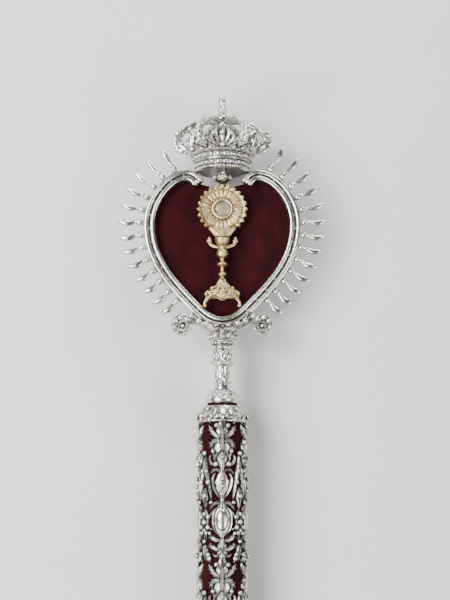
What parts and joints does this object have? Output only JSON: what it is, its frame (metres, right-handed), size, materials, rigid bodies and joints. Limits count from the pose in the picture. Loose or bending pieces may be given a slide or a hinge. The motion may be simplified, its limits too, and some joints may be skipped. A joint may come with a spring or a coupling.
{
  "type": "ceremonial staff",
  "caption": "Silver processional staff with a crown over a rayed heart, a gilt monstrance on a velvet panel, and openwork silver on a velvet-covered pole.",
  "frame": {"origin": "centre of the bounding box's underside, on the floor that the staff lies on", "axes": "the staff lies on its back with +Y from the foot towards the crown, +X to the right and +Z from the back of the heart to its front; its axis rises half a degree towards the crown"},
  "size_m": [0.1784, 1.7042, 0.0751],
  "materials": {
    "silver": "cast and chased silver, polished on the high parts and darkened in the hollows",
    "gilt": "worn gilding, satin",
    "velvet": "dark maroon velvet with a short pile",
    "ivory": "plain matt wafer",
    "crystal": "clear, domed"
  },
  "bodies": {
    "root": {"openwork_sleeve": "silver", "pole_knop_1": "silver", "pole_knop_2": "silver", "pole_knop_3": "silver", "foot_ferrule": "silver", "head_bell": "silver", "head_stem": "silver", "base_bracket": "silver", "heart_frame": "silver", "back_plate": "silver", "crown_basket": "silver", "crown_finial": "silver", "crown_post": "silver", "crown_arch_1": "silver", "crown_arch_2": "silver", "crown_arch_3": "silver", "crown_arch_4": "silver", "crown_arch_5": "silver", "crown_arch_6": "silver", "ray_left_01": "silver", "ray_left_02": "silver", "ray_left_03": "silver", "ray_left_04": "silver", "ray_left_05": "silver", "ray_left_06": "silver", "ray_left_07": "silver", "ray_left_08": "silver", "ray_left_09": "silver", "ray_left_10": "silver", "ray_left_11": "silver", "ray_left_12": "silver", "ray_left_13": "silver", "ray_right_01": "silver", "ray_right_02": "silver", "ray_right_03": "silver", "ray_right_04": "silver", "ray_right_05": "silver", "ray_right_06": "silver", "ray_right_07": "silver", "ray_right_08": "silver", "ray_right_09": "silver", "ray_right_10": "silver", "ray_right_11": "silver", "ray_right_12": "silver", "ray_right_13": "silver", "monstrance_foot": "gilt", "monstrance_stem": "gilt", "monstrance_sun": "gilt", "velvet_pole": "velvet", "velvet_panel": "velvet", "monstrance_host": "ivory", "monstrance_lens": "crystal"}
  },
  "joints": []
}
